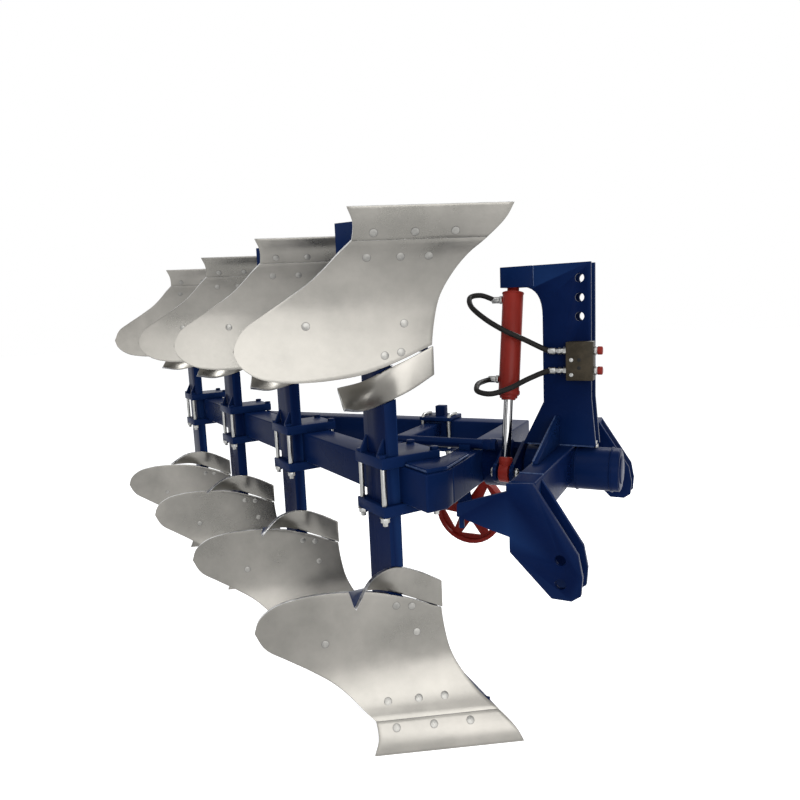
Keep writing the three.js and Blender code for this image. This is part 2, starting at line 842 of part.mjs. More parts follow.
const bracketPost = { rear: -22, front: 22, inner: 60, outer: 20, top: 60 }; // lifting hook's post
const bracketX0 = wheelBracketX - wheelBracketHalf;
const bracketX1 = wheelBracketX + wheelBracketHalf;
const bracketInner = sideBeamInner - 20;
const bracketOuter = sideOuter + wheelBracketPlate;
const bracketTop = beamTop + seat + wheelBracketPlate;
const bracketFoot = beamBottom - seat - wheelBracketPlate;
const pivotEnd = armY + armThickness / 2 + 14;
const wheelBracket = join(
  block(bracketX0, bracketX1, bracketInner, bracketOuter, beamTop + seat, bracketTop),
  block(bracketX0, bracketX1, bracketInner, bracketOuter, bracketFoot, beamBottom - seat),
  block(bracketX0, bracketX1, sideOuter + seat, bracketOuter, bracketFoot + 1, bracketTop - 1),
  block(
    wheelBracketX + bracketPost.rear, wheelBracketX + bracketPost.front,
    sideOuter - bracketPost.inner, sideOuter - bracketPost.outer,
    bracketTop - 1, beamTop + bracketPost.top,
  ),
  bar(
    [wheelBracketX, bracketOuter - 1, axisHeight], [wheelBracketX, pivotEnd, axisHeight],
    pivotRadius, 20,
  ),
);
addPiece('wheel_bracket', wheelBracket, bluePaint);

const wheelX = wheelBracketX + armLength * Math.sin(armAngle);
const wheelZ = axisHeight - armLength * Math.cos(armAngle);
const armTurn = Math.atan2(wheelZ - axisHeight, wheelX - wheelBracketX);
const armLeft = armTurn + Math.PI / 2;
const armRight = armTurn - Math.PI / 2;
const armShape = new THREE.Shape();
armShape.absarc(wheelBracketX, axisHeight, armPivotEnd, armLeft, armRight, false);
armShape.absarc(wheelX, wheelZ, armWheelEnd, armRight, armLeft, false);
addHole(armShape, wheelBracketX, axisHeight, pivotRadius + pinPlay);
const halfWheel = wheelWidth / 2;
const axle = bar(
  [wheelX, armY, wheelZ], [wheelX, wheelY + halfWheel + running, wheelZ], axleRadius, 20,
);
const armPlate = uprightPlate(armShape, armY - armThickness / 2, armThickness);
addPiece('wheel_arm', armPlate.add(axle), bluePaint);

const rimInner = wheelRadius - rimThickness;

// A round body on the wheel's axis, reaching a distance to either side of its middle.
function wheelBar(reach, radius, sides) {
  return bar([wheelX, wheelY - reach, wheelZ], [wheelX, wheelY + reach, wheelZ], radius, sides);
}

const disc = new THREE.Shape(circle(wheelX, wheelZ, rimInner + 4, 32));
const spokeTurn = Math.PI / spokeCount;
for (let i = 0; i < spokeCount; i += 1) {
  const angle = (2 * i + 1) * spokeTurn;
  const corner = (radius, turn) => new THREE.Vector2(
    wheelX + radius * Math.cos(angle + turn), wheelZ + radius * Math.sin(angle + turn),
  );
  disc.holes.push(new THREE.Path([
    corner(rimInner - 12, -spokeTurn * 0.72),
    corner(rimInner - 12, spokeTurn * 0.72),
    corner(wheelHubRadius + 16, 0),
  ]));
}
const rim = wheelBar(halfWheel, wheelRadius, 32).subtract(wheelBar(halfWheel + 1, rimInner, 32));
const wheel = join(
  rim,
  uprightPlate(disc, wheelY - wheelDisc / 2, wheelDisc, 16),
  wheelBar(halfWheel - 4, wheelHubRadius, 24),
);
const axleBore = wheelBar(halfWheel + 1, axleRadius + pinPlay, 20);
addPiece('depth_wheel', wheel.subtract(axleBore), redPaint);

// ---------------------------------------------------------------- hoses

function port(depth) {
  return [
    crankPlane - portReach - 1.5 * seat,
    -depth * Math.sin(lean),
    cylinderPinZ - depth * Math.cos(lean),
  ];
}

function addHose(name, points) {
  const [first, last] = [points[0], points.at(-1)];
  const ends = [
    [first[0] - hoseLead, first[1], first[2]],
    [last[0] - hoseLead, last[1], last[2]],
  ];
  const route = [first, ends[0], ...points.slice(1, -1), ends[1], last];
  const path = new THREE.CatmullRomCurve3(
    route.map((point) => new THREE.Vector3(...point)), false, 'centripetal',
  );
  const section = new THREE.Shape(circle(0, 0, hoseRadius, 8));
  const steps = Math.ceil(path.getLength() / (5 * hoseRadius));
  const geometry = new THREE.ExtrudeGeometry(section, {
    steps, extrudePath: path, bevelEnabled: false,
  });
  addPiece(name, toSolid(geometry), rubber);
}

const fittingEnd = valveRear - fittingLength - 1.5 * seat;

addHose('hose_upper', [
  [fittingEnd, fittingY, fittingZ.upper],
  [320, -68, 1256],
  [260, -84, 1288],
  [190, -102, 1324],
  [125, -108, 1366],
  [76, -96, 1408],
  [64, -66, 1436],
  [92, -36, 1442],
  port(portDepth.upper),
]);
addHose('hose_lower', [
  [fittingEnd, fittingY, fittingZ.lower],
  [325, -74, 1184],
  [272, -112, 1162],
  [222, -158, 1136],
  [168, -192, 1122],
  [126, -190, 1130],
  [112, -150, 1146],
  [116, -100, 1152],
  port(portDepth.lower),
]);

// The origin is on the ground, at the middle of the footprint.
const middle = new THREE.Box3().setFromObject(plough, true).getCenter(new THREE.Vector3());
plough.position.set(-middle.x, -middle.y, 0);

export default plough;
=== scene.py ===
# %% [markdown]
# A reversible plough carries each of its bodies twice, once below the beam and once above it.
# A cylinder on the mast turns the whole frame over at the end of the field.
# This lesson dresses the machine's fixed frame: bent steel sheets, painted tubes, bolts, welds
# and hoses. The frame comes first, because every later piece takes its place from it.

# %% Load the frame
import json
import math

import bpy
from mathutils import Matrix, Vector

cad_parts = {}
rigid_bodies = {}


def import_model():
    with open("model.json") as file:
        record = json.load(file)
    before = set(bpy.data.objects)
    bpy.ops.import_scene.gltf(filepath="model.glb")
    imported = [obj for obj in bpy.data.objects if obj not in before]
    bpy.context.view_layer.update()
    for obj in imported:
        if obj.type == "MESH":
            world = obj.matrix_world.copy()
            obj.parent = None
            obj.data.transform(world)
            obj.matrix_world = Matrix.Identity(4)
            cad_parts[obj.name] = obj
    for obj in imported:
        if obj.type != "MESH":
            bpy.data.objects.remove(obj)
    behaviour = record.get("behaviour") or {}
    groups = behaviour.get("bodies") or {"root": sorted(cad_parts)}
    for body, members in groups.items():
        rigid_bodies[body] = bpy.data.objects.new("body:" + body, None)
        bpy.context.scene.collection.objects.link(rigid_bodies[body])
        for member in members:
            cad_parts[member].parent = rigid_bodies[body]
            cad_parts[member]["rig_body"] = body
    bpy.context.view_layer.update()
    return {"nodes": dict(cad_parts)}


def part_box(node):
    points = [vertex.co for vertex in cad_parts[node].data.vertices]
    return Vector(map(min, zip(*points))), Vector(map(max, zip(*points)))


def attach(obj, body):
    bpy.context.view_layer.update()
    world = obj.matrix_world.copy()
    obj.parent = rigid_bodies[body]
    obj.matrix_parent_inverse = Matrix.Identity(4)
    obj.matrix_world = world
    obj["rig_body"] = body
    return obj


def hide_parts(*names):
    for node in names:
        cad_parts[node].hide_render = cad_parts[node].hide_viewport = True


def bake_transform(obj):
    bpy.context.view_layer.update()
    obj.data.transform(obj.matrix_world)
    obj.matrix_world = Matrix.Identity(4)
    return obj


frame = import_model()
nodes = frame["nodes"]
bpy.ops.object.select_all(action="DESELECT")

# %% [markdown]
# A workshop drawing of a plough is dimensioned in millimetres from the turnover axis.
# The scene is in metres from the middle of the floor plan, so one function turns the first into
# the second. Two known faces give the shift: the front of the hub and the right hitch plate.

# %% Drawing millimetres to scene metres
HUB_FRONT = 548
HITCH_OUTER = 547
AXIS_HEIGHT = 850
shift_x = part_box("turnover_hub")[1].x - HUB_FRONT / 1000
shift_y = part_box("hitch_outer_right")[0].y + HITCH_OUTER / 1000


def at(x, y, z):
    """A point of the drawing, in millimetres, as a point of the scene."""
    return Vector((x / 1000 + shift_x, y / 1000 + shift_y, z / 1000))


print("drawing origin at", at(0, 0, 0))

# %% [markdown]
# The camera stands low at the front right of the machine, as a buyer would who walks up to the
# hitch. A fairly short lens makes the near body large against the rearmost one.
# Its sensor is 36 mm wide, so the lens length is that of an ordinary full-frame camera.

# %% Camera
VIEW_FORWARD = Vector((-0.4454, 0.8853, -0.1342)).normalized()
VIEW_UP = Vector((-0.0219, 0.1392, 0.990))
VIEW_LENS = 29.15

bpy.ops.object.camera_add(location=at(844, -2185, 1397))
camera = bpy.context.object
view_right = VIEW_FORWARD.cross(VIEW_UP).normalized()
view_top = view_right.cross(VIEW_FORWARD)
camera.rotation_euler = Matrix((view_right, view_top, -VIEW_FORWARD)).transposed().to_euler()
camera.data.lens = VIEW_LENS
camera.data.sensor_width = 36
bpy.context.scene.camera = camera
print("camera at", camera.location)

# %% [markdown]
# Soft studio light: a pale sky all round and four broad lamps. One hangs high over the near side.
# One stands far out at the front, low enough for the curved sheets to reflect it, which makes
# their bright bands. Two weaker ones fill the rear and the far side. The floor is a plain sheet.
# Where the camera or a reflection meets the sky directly, it sees plain white.

# %% Light and floor
scene = bpy.context.scene
scene.view_settings.view_transform = "Standard"


def seen_directly(tree, path):
    """A value that is 1 for camera, glossy and transmission rays, and 0 for all others."""
    seen = path.outputs["Is Camera Ray"]
    for ray in ("Is Glossy Ray", "Is Transmission Ray"):
        either = tree.nodes.new("ShaderNodeMath")
        either.operation = "MAXIMUM"
        tree.links.new(seen, either.inputs[0])
        tree.links.new(path.outputs[ray], either.inputs[1])
        seen = either.outputs[0]
    return seen


SKY_STRENGTH = 0.36  # what lights the machine
world = bpy.data.worlds.new("studio_sky")
scene.world = world
world.use_nodes = True
sky = world.node_tree
sky.nodes.clear()
sky_out = sky.nodes.new("ShaderNodeOutputWorld")
sky_light = sky.nodes.new("ShaderNodeBackground")
sky_white = sky.nodes.new("ShaderNodeBackground")
sky_mix = sky.nodes.new("ShaderNodeMixShader")
sky_path = sky.nodes.new("ShaderNodeLightPath")
sky_light.inputs["Color"].default_value = (0.93, 0.96, 1.0, 1)
sky_light.inputs["Strength"].default_value = SKY_STRENGTH
sky_white.inputs["Color"].default_value = (1, 1, 1, 1)
sky_white.inputs["Strength"].default_value = 1.0
sky.links.new(seen_directly(sky, sky_path), sky_mix.inputs["Fac"])
sky.links.new(sky_light.outputs[0], sky_mix.inputs[1])
sky.links.new(sky_white.outputs[0], sky_mix.inputs[2])
sky.links.new(sky_mix.outputs[0], sky_out.inputs["Surface"])


def add_lamp(name, place, target, size, energy):
    """A broad area lamp that points at a target; its size is in metres."""
    bpy.ops.object.light_add(type="AREA", location=place)
    lamp = bpy.context.object
    lamp.name = name
    lamp.data.shape = "RECTANGLE"
    lamp.data.size = size
    lamp.data.size_y = size * 0.7
    lamp.data.energy = energy
    lamp.rotation_euler = (target - lamp.location).to_track_quat("-Z", "Y").to_euler()
    return lamp


add_lamp("high_lamp", at(600, -2600, 5200), at(-300, -200, 900), 4.5, 85)
add_lamp("front_lamp", at(3300, -4700, 2250), at(-300, -200, 1100), 4.5, 185)
add_lamp("side_lamp", at(-4200, -3400, 3200), at(-1000, 0, 900), 3.0, 60)
add_lamp("back_lamp", at(1600, 3600, 4000), at(-300, 0, 900), 3.0, 190)

FLOOR_LIFT = 0.68  # what the camera sees of the floor beyond its own light

bpy.ops.mesh.primitive_plane_add(size=60, location=(0, 0, 0))
floor = bpy.context.object
floor.name = "floor"

# %% [markdown]
# Every finish here varies a little over its surface: paint has a fine orange-peel skin and lighter
# sharp edges, partly wear and partly a painted highlight, and bare steel has clouds and faint
# grinding lines. The clouds and lines come from two small node groups that each material uses
# with its own numbers.
# The first group gives cloudy spots, the second gives lines drawn out along one direction.

# %% Node groups for clouds and grinding lines
FINE_RATIO = 24  # the fine grain is this much smaller than the clouds
GRIND_TURN = math.radians(-34)
GRIND_STRETCH = (0.03, 1, 1)


def new_group(name, inputs, outputs):
    """An empty node group with plain number sockets, and one vector if it is asked for."""
    group = bpy.data.node_groups.new(name, "ShaderNodeTree")
    for socket in inputs:
        kind = "NodeSocketVector" if socket == "Vector" else "NodeSocketFloat"
        group.interface.new_socket(name=socket, in_out="INPUT", socket_type=kind)
    for socket in outputs:
        group.interface.new_socket(name=socket, in_out="OUTPUT", socket_type="NodeSocketFloat")
    start = group.nodes.new("NodeGroupInput")
    end = group.nodes.new("NodeGroupOutput")
    return group, start, end


clouds, clouds_in, clouds_out = new_group(
    "surface_clouds", ["Vector", "Scale", "From", "To"], ["Mask", "Fine"])
broad = clouds.nodes.new("ShaderNodeTexNoise")
broad.inputs["Detail"].default_value = 6
broad.inputs["Roughness"].default_value = 0.6
fine = clouds.nodes.new("ShaderNodeTexNoise")
fine.inputs["Detail"].default_value = 2
finer = clouds.nodes.new("ShaderNodeMath")
finer.operation = "MULTIPLY"
finer.inputs[1].default_value = FINE_RATIO
window = clouds.nodes.new("ShaderNodeMapRange")
window.interpolation_type = "SMOOTHSTEP"
for a, b in (
    (clouds_in.outputs["Vector"], broad.inputs["Vector"]),
    (clouds_in.outputs["Vector"], fine.inputs["Vector"]),
    (clouds_in.outputs["Scale"], broad.inputs["Scale"]),
    (clouds_in.outputs["Scale"], finer.inputs[0]),
    (finer.outputs[0], fine.inputs["Scale"]),
    (broad.outputs["Fac"], window.inputs["Value"]),
    (clouds_in.outputs["From"], window.inputs["From Min"]),
    (clouds_in.outputs["To"], window.inputs["From Max"]),
    (window.outputs["Result"], clouds_out.inputs["Mask"]),
    (fine.outputs["Fac"], clouds_out.inputs["Fine"]),
):
    clouds.links.new(a, b)

lines, lines_in, lines_out = new_group("grinding_lines", ["Vector", "Scale"], ["Lines"])
stretch = lines.nodes.new("ShaderNodeMapping")
stretch.inputs["Rotation"].default_value = (0, 0, GRIND_TURN)
stretch.inputs["Scale"].default_value = GRIND_STRETCH
streaks = lines.nodes.new("ShaderNodeTexNoise")
streaks.inputs["Detail"].default_value = 3
for a, b in (
    (lines_in.outputs["Vector"], stretch.inputs["Vector"]),
    (stretch.outputs["Vector"], streaks.inputs["Vector"]),
    (lines_in.outputs["Scale"], streaks.inputs["Scale"]),
    (streaks.outputs["Fac"], lines_out.inputs["Lines"]),
):
    lines.links.new(a, b)
print("groups:", [g.name for g in bpy.data.node_groups])

# %% [markdown]
# A material is one Principled shader whose colour, roughness and bump vary through the groups.
# One function builds them all: it mixes two colours by the clouds, moves the roughness between
# two values, and adds a shallow bump. Numbers that are the same all over stay on the shader.

# %% Materials
def new_finish(name, dark, light, rough, metallic=0.0, scale=3.0, window=(0.35, 0.7),
               bump=0.1, line_scale=0.0, edge_wear_and_highlight=None, shine=0.5):
    """A finish between two colours and two roughness values, with clouds, bump, and lighter edges
    that are partly wear and partly a painted highlight.
    """
    material = bpy.data.materials.new(name)
    material.use_nodes = True
    tree = material.node_tree
    shader = tree.nodes["Principled BSDF"]
    place = tree.nodes.new("ShaderNodeTexCoord")
    cloud = tree.nodes.new("ShaderNodeGroup")
    cloud.node_tree = clouds
    cloud.inputs["Scale"].default_value = scale
    cloud.inputs["From"].default_value, cloud.inputs["To"].default_value = window
    tree.links.new(place.outputs["Object"], cloud.inputs["Vector"])
    mix = tree.nodes.new("ShaderNodeMix")
    mix.data_type = "RGBA"
    mix.inputs["A"].default_value = (*dark, 1)
    mix.inputs["B"].default_value = (*light, 1)
    tree.links.new(cloud.outputs["Mask"], mix.inputs["Factor"])
    colour = mix.outputs["Result"]
    height = cloud.outputs["Fine"]
    spread = cloud.outputs["Mask"]
    if line_scale:
        ground = tree.nodes.new("ShaderNodeGroup")
        ground.node_tree = lines
        ground.inputs["Scale"].default_value = line_scale
        tree.links.new(place.outputs["Object"], ground.inputs["Vector"])
        height = ground.outputs["Lines"]
        blend = tree.nodes.new("ShaderNodeMath")
        blend.operation = "MULTIPLY_ADD"
        blend.inputs[1].default_value = 0.5
        tree.links.new(ground.outputs["Lines"], blend.inputs[0])
        tree.links.new(cloud.outputs["Mask"], blend.inputs[2])
        spread = blend.outputs[0]
    # Sharp edges, found by pointiness, turn lighter: partly paint wear, partly a painted highlight.
    if edge_wear_and_highlight:
        edge = tree.nodes.new("ShaderNodeNewGeometry")
        edge_wear_and_highlight_mask = tree.nodes.new("ShaderNodeMapRange")
        edge_wear_and_highlight_mask.inputs["From Min"].default_value = 0.53
        edge_wear_and_highlight_mask.inputs["From Max"].default_value = 0.62
        top = tree.nodes.new("ShaderNodeMix")
        top.data_type = "RGBA"
        top.inputs["B"].default_value = (*edge_wear_and_highlight, 1)
        tree.links.new(edge.outputs["Pointiness"], edge_wear_and_highlight_mask.inputs["Value"])
        tree.links.new(edge_wear_and_highlight_mask.outputs["Result"], top.inputs["Factor"])
        tree.links.new(colour, top.inputs["A"])
        colour = top.outputs["Result"]
    roughness = tree.nodes.new("ShaderNodeMapRange")
    roughness.inputs["To Min"].default_value, roughness.inputs["To Max"].default_value = rough
    tree.links.new(spread, roughness.inputs["Value"])
    relief = tree.nodes.new("ShaderNodeBump")
    relief.inputs["Strength"].default_value = bump
    relief.inputs["Distance"].default_value = 0.001
    tree.links.new(height, relief.inputs["Height"])
    tree.links.new(colour, shader.inputs["Base Color"])
    tree.links.new(roughness.outputs["Result"], shader.inputs["Roughness"])
    tree.links.new(relief.outputs["Normal"], shader.inputs["Normal"])
    shader.inputs["Metallic"].default_value = metallic
    shader.inputs["Specular IOR Level"].default_value = shine
    return material


# The lighter edge blue is partly wear and partly a painted highlight.
blue = new_finish("navy_paint", (0.0012, 0.0055, 0.031), (0.0026, 0.0095, 0.047), (0.26, 0.40),
                  scale=2.2, bump=0.12, shine=0.02, edge_wear_and_highlight=(0.006, 0.020, 0.075))
blue_back = new_finish("sheet_back_paint", (0.002, 0.013, 0.060), (0.004, 0.020, 0.085),
                       (0.30, 0.46), scale=3, bump=0.12, shine=0.06)
weld_paint = new_finish("painted_weld", (0.012, 0.028, 0.085), (0.05, 0.08, 0.16), (0.3, 0.5),
                        scale=40, bump=0.5, shine=0.2)
# The lighter edge red is partly wear and partly a painted highlight.
red = new_finish("red_paint", (0.125, 0.0075, 0.0055), (0.20, 0.013, 0.009), (0.28, 0.42),
                 scale=4, bump=0.1, shine=0.08, edge_wear_and_highlight=(0.22, 0.035, 0.025))
steel = new_finish("ground_steel", (0.155, 0.150, 0.137), (0.255, 0.244, 0.223), (0.22, 0.36),
                   metallic=1.0, scale=2.3, window=(0.30, 0.72), bump=0.05, line_scale=95)
# Cut edges are much lighter steel than the faces: partly bare edge, partly a painted highlight.
bare_edge_with_highlight = new_finish("bare_edge_with_highlight", (0.42, 0.42, 0.42), (0.66, 0.66, 0.65), (0.3, 0.5),
                      metallic=1.0, scale=30, bump=0.3)
bolt_steel = new_finish("bolt_steel", (0.19, 0.187, 0.176), (0.30, 0.293, 0.275), (0.3, 0.5),
                        metallic=1.0, scale=30, bump=0.2)
# A dark disc round each bolt head: painted shade for the groove round it.
groove_shade_finish = new_finish("bolt_groove_shade", (0.06, 0.058, 0.055), (0.13, 0.125, 0.12), (0.5, 0.7),
                       metallic=0.6, scale=30, bump=0.2)
zinc = new_finish("zinc_plate", (0.27, 0.27, 0.262), (0.36, 0.36, 0.348), (0.30, 0.42),
                  metallic=1.0, scale=14, bump=0.04)
chrome = new_finish("hard_chrome", (0.27, 0.27, 0.275), (0.33, 0.33, 0.335), (0.07, 0.13),
                    metallic=1.0, scale=20, bump=0.02)
bronze = new_finish("valve_bronze", (0.020, 0.016, 0.010), (0.040, 0.032, 0.021), (0.38, 0.58),
                    metallic=0.3, scale=25, bump=0.35, shine=0.15)
rubber = new_finish("hose_rubber", (0.004, 0.0037, 0.0035), (0.009, 0.0082, 0.0075),
                    (0.42, 0.62), scale=60, bump=0.4, shine=0.12)
# Near-black finish for the port openings: painted shade of the holes.
port_opening_shade = new_finish("port_opening_shade", (0.006, 0.006, 0.006), (0.012, 0.012, 0.012), (0.6, 0.8),
                       scale=30, bump=0.1, shine=0.2)
pale_floor = new_finish("pale_floor", (0.87, 0.87, 0.87), (0.90, 0.90, 0.90), (0.75, 0.85),
                        scale=1.2, bump=0.03)
floor.data.materials.append(pale_floor)
floor_tree = pale_floor.node_tree
floor_shader = floor_tree.nodes["Principled BSDF"]
floor_path = floor_tree.nodes.new("ShaderNodeLightPath")
floor_lift = floor_tree.nodes.new("ShaderNodeMath")
floor_lift.operation = "MULTIPLY"
floor_lift.inputs[1].default_value = FLOOR_LIFT
floor_tree.links.new(seen_directly(floor_tree, floor_path), floor_lift.inputs[0])
floor_tree.links.new(floor_lift.outputs[0], floor_shader.inputs["Emission Strength"])
floor_shader.inputs["Emission Color"].default_value = (1, 1, 1, 1)
print(len(bpy.data.materials), "materials")

# %% [markdown]
# Small helpers do what a modeller does by hand again and again: add a block or a round bar,
# round its edges with a bevel, join pieces, and hand the result to the body it moves with.
# Each finished piece has its place in its mesh, so its object stays at the origin.

# %% Modelling helpers
def pick(obj):
    """Makes one object the selected and active one."""
    bpy.ops.object.select_all(action="DESELECT")
    obj.select_set(True)
    bpy.context.view_layer.objects.active = obj


def settle(obj):
    """Moves an object's place, turn and size into its mesh."""
    pick(obj)
    bpy.ops.object.transform_apply(location=True, rotation=True, scale=True)
    return obj


def round_edges(obj, width, segments=2):
    """Bevels every sharp edge of a mesh by a width in millimetres; 0 leaves it sharp."""
    if not width:
        return obj
    pick(obj)
    bevel = obj.modifiers.new("edges", "BEVEL")
    bevel.width = width / 1000
    bevel.segments = segments
    bevel.limit_method = "ANGLE"
    bevel.angle_limit = math.radians(38)
    bevel.harden_normals = False
    bpy.ops.object.modifier_apply(modifier=bevel.name)
    return obj


def add_block(x, y, z, edge=2.0):
    """A block between two values on each axis of the drawing."""
    low, high = at(x[0], y[0], z[0]), at(x[1], y[1], z[1])
    bpy.ops.mesh.primitive_cube_add(size=1, location=(low + high) / 2, scale=high - low)
    return round_edges(settle(bpy.context.object), edge)


def add_bar(start, end, radius, sides=32, edge=1.0):
    """A round or many-sided bar between two points of the scene; its radius is in millimetres."""
    way = end - start
    bpy.ops.mesh.primitive_cylinder_add(
        vertices=sides, radius=radius / 1000, depth=way.length, location=(start + end) / 2,
        rotation=way.to_track_quat("Z", "Y").to_euler())
    return round_edges(settle(bpy.context.object), edge)


def add_tube(points, radius, swell=None):
    """A round section drawn along points of the scene, with an optional swell at each point."""
    curve = bpy.data.curves.new("tube", "CURVE")
    curve.dimensions = "3D"
    curve.bevel_depth = radius / 1000
    curve.bevel_resolution = 4
    curve.use_fill_caps = True
    spline = curve.splines.new("POLY")
    spline.points.add(len(points) - 1)
    for index, point in enumerate(points):
        spline.points[index].co = (*point, 1)
        spline.points[index].radius = swell[index] if swell else 1
    obj = bpy.data.objects.new("tube", curve)
    bpy.context.collection.objects.link(obj)
    pick(obj)
    bpy.ops.object.convert(target="MESH")
    return bpy.context.object


def join(pieces):
    """Joins several meshes into the first of them."""
    bpy.ops.object.select_all(action="DESELECT")
    for piece in pieces:
        piece.select_set(True)
    bpy.context.view_layer.objects.active = pieces[0]
    bpy.ops.object.join()
    return bpy.context.object


def outward(obj):
    """Merges doubles and turns all faces outwards."""
    pick(obj)
    bpy.ops.object.mode_set(mode="EDIT")
    bpy.ops.mesh.select_all(action="SELECT")
    bpy.ops.mesh.remove_doubles(threshold=1e-6)
    bpy.ops.mesh.normals_make_consistent(inside=False)
    bpy.ops.object.mode_set(mode="OBJECT")
    return obj


def hand_over(obj, name, body, finishes, stands_for=(), angle=40):
    """Names a piece, gives it its finishes and lets it ride on a body."""
    obj.name = name
    if finishes:
        obj.data.materials.clear()
        for finish in finishes:
            obj.data.materials.append(finish)
    pick(obj)
    bpy.ops.object.shade_smooth_by_angle(angle=math.radians(angle))
    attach(obj, body)
    if stands_for:
        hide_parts(*stands_for)
    return obj


def copy_of(source, move=None, turned_over=False):
    """A copy with its own mesh, moved, or mirrored through the level of the turnover axis."""
    copy = source.copy()
    copy.data = source.data.copy()
    bpy.context.collection.objects.link(copy)
    if turned_over:
        copy.data.transform(Matrix.Translation((0, 0, 2 * AXIS_HEIGHT / 1000))
                            @ Matrix.Diagonal((1, 1, -1, 1)))
        pick(copy)
        bpy.ops.object.mode_set(mode="EDIT")
        bpy.ops.mesh.select_all(action="SELECT")
        bpy.ops.mesh.flip_normals()
        bpy.ops.object.mode_set(mode="OBJECT")
    if move is not None:
        copy.data.transform(Matrix.Translation(move))
    return copy


print("helpers ready")

# %% [markdown]
# The tubes and plates of the frame have the right shape already, but their edges are dead sharp.
# A sharp edge catches no light, so each one is copied, its loose triangles are merged into
# clean faces, and the edges are rounded: about 6 mm on the rolled tubes, 1.5 mm on cut plates.

# %% Soft-edged copies of the welded structure
def soften(node, width, finish=blue, segments=2, angle=40):
    """A copy of a frame node with clean faces and edges rounded by a width in millimetres."""
    source = nodes[node]
    copy = bpy.data.objects.new(node + "_shell", source.data.copy())
    bpy.context.collection.objects.link(copy)
    body = source["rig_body"]
    pick(copy)
    bpy.ops.object.mode_set(mode="EDIT")
    bpy.ops.mesh.select_all(action="SELECT")
    bpy.ops.mesh.remove_doubles(threshold=2e-5)
    bpy.ops.mesh.dissolve_limited(angle_limit=math.radians(1))
    bpy.ops.object.mode_set(mode="OBJECT")
    round_edges(copy, width, segments)
    return hand_over(copy, node + "_shell", body, [finish], [node], angle)


TUBES = ("main_beam", "side_beam", "front_cross_tube", "rear_cross_tube", "crossbeam")
PLATES = (
    "hitch_outer_left", "hitch_outer_right", "hitch_inner_left", "hitch_inner_right",
    "mast_plate_left", "mast_plate_right", "mast_gusset_left", "mast_gusset_right",
    "corner_gusset", "cylinder_bracket", "turnover_rotor", "wheel_bracket", "wheel_arm",
    "adjuster_strut", "turnover_hub", "leg_1", "leg_2", "leg_3", "leg_4",
)
for tube in TUBES:
    soften(tube, 6, segments=3)
for plate in PLATES:
    soften(plate, 1.6)
soften("depth_wheel", 2.5, red)
soften("cylinder_barrel", 1.5, red)
print("softened", len(TUBES) + len(PLATES) + 2, "nodes")

# %% [markdown]
# The heart of a plough is the body: a flat share that cuts the slice, a moldboard that twists
# it over, and a small trash board on top. All three are 10 mm plate, bent without creases.
# Their shape is easiest to give as height and distance behind the leading edge, so a grid
# primitive is laid over such a surface, and Solidify gives the plate its thickness.

# %% Curves of the body surface
LAND_Y = -295
SHARE_TOP = 92
SHARE_WING = 488
SHARE_HEEL = 405
SEAT = 0.3  # between pieces that are bolted together
LEVEL_ANGLE = 32  # of the body's level lines at the share, in degrees
LEVEL_TURN = 5 / 360  # degrees that they turn outwards for each millimetre of height
LEVEL_FOOT = 40  # the height where that begins
SHIN_STEPS = 60


def flowing(points):
    """A smooth curve through the points, with a tangent that suits their spacing."""
    count = len(points)

    def curve(t):
        place = (count - 1) * t
        i = min(int(place), count - 2)
        w = place - i
        p1, p2 = points[i], points[i + 1]
        p0 = points[i - 1] if i > 0 else [2 * a - b for a, b in zip(points[0], points[1])]
        after = [2 * a - b for a, b in zip(points[-1], points[-2])]
        p3 = points[i + 2] if i + 2 < count else after
        d0, d1, d2 = (math.dist(a, b) ** 0.5 for a, b in ((p0, p1), (p1, p2), (p2, p3)))
        found = []
        for a, b, c, e in zip(p0, p1, p2, p3):
            t1 = ((b - a) / d0 - (c - a) / (d0 + d1) + (c - b) / d1) * d1
            t2 = ((c - b) / d1 - (e - b) / (d1 + d2) + (e - c) / d2) * d1
            found.append(b + t1 * w + (3 * (c - b) - 2 * t1 - t2) * w * w
                         + (2 * (b - c) + t1 + t2) * w ** 3)
        return found

    return curve


def evenly(curve, steps=200):
    """The same curve, with its parameter in step with the length along it."""
    points = [curve(i / steps) for i in range(steps + 1)]
    run = [0.0]
    for a, b in zip(points, points[1:]):
        run.append(run[-1] + math.dist(a, b))

    def even_curve(u):
        want = u * run[-1]
        i = next((k for k in range(steps) if run[k + 1] >= want), steps - 1)
        return curve((i + (want - run[i]) / (run[i + 1] - run[i])) / steps)

    return even_curve


shin_curve = flowing([(293, 0), (268, 40), (208, SHARE_TOP), (147, 134), (92, 190),
                      (47, 259), (25, 339), (15, 420), (12, 520)])
shin_points = [shin_curve(i / SHIN_STEPS) for i in range(SHIN_STEPS + 1)]


def shin_x(z):
    """How far forward the leading edge is at a height."""
    i = max(next((k for k, point in enumerate(shin_points) if point[1] >= z), SHIN_STEPS), 1)
    low, high = shin_points[i - 1], shin_points[i]
    return low[0] + (high[0] - low[0]) * (z - low[1]) / (high[1] - low[1])


def on_body(z, distance, depth=0.0):
    """A point of the body: height, distance behind the leading edge, depth behind the face."""
    angle = math.radians(LEVEL_ANGLE + LEVEL_TURN * max(z - LEVEL_FOOT, 0))
    slope = (shin_x(z + 5) - shin_x(z)) / 5
    level = depth * math.hypot(1, slope * math.sin(angle))
    return at(
        shin_x(z) - distance * math.cos(angle) - level * math.sin(angle),
        LAND_Y - distance * math.sin(angle) + level * math.cos(angle),
        z,
    )


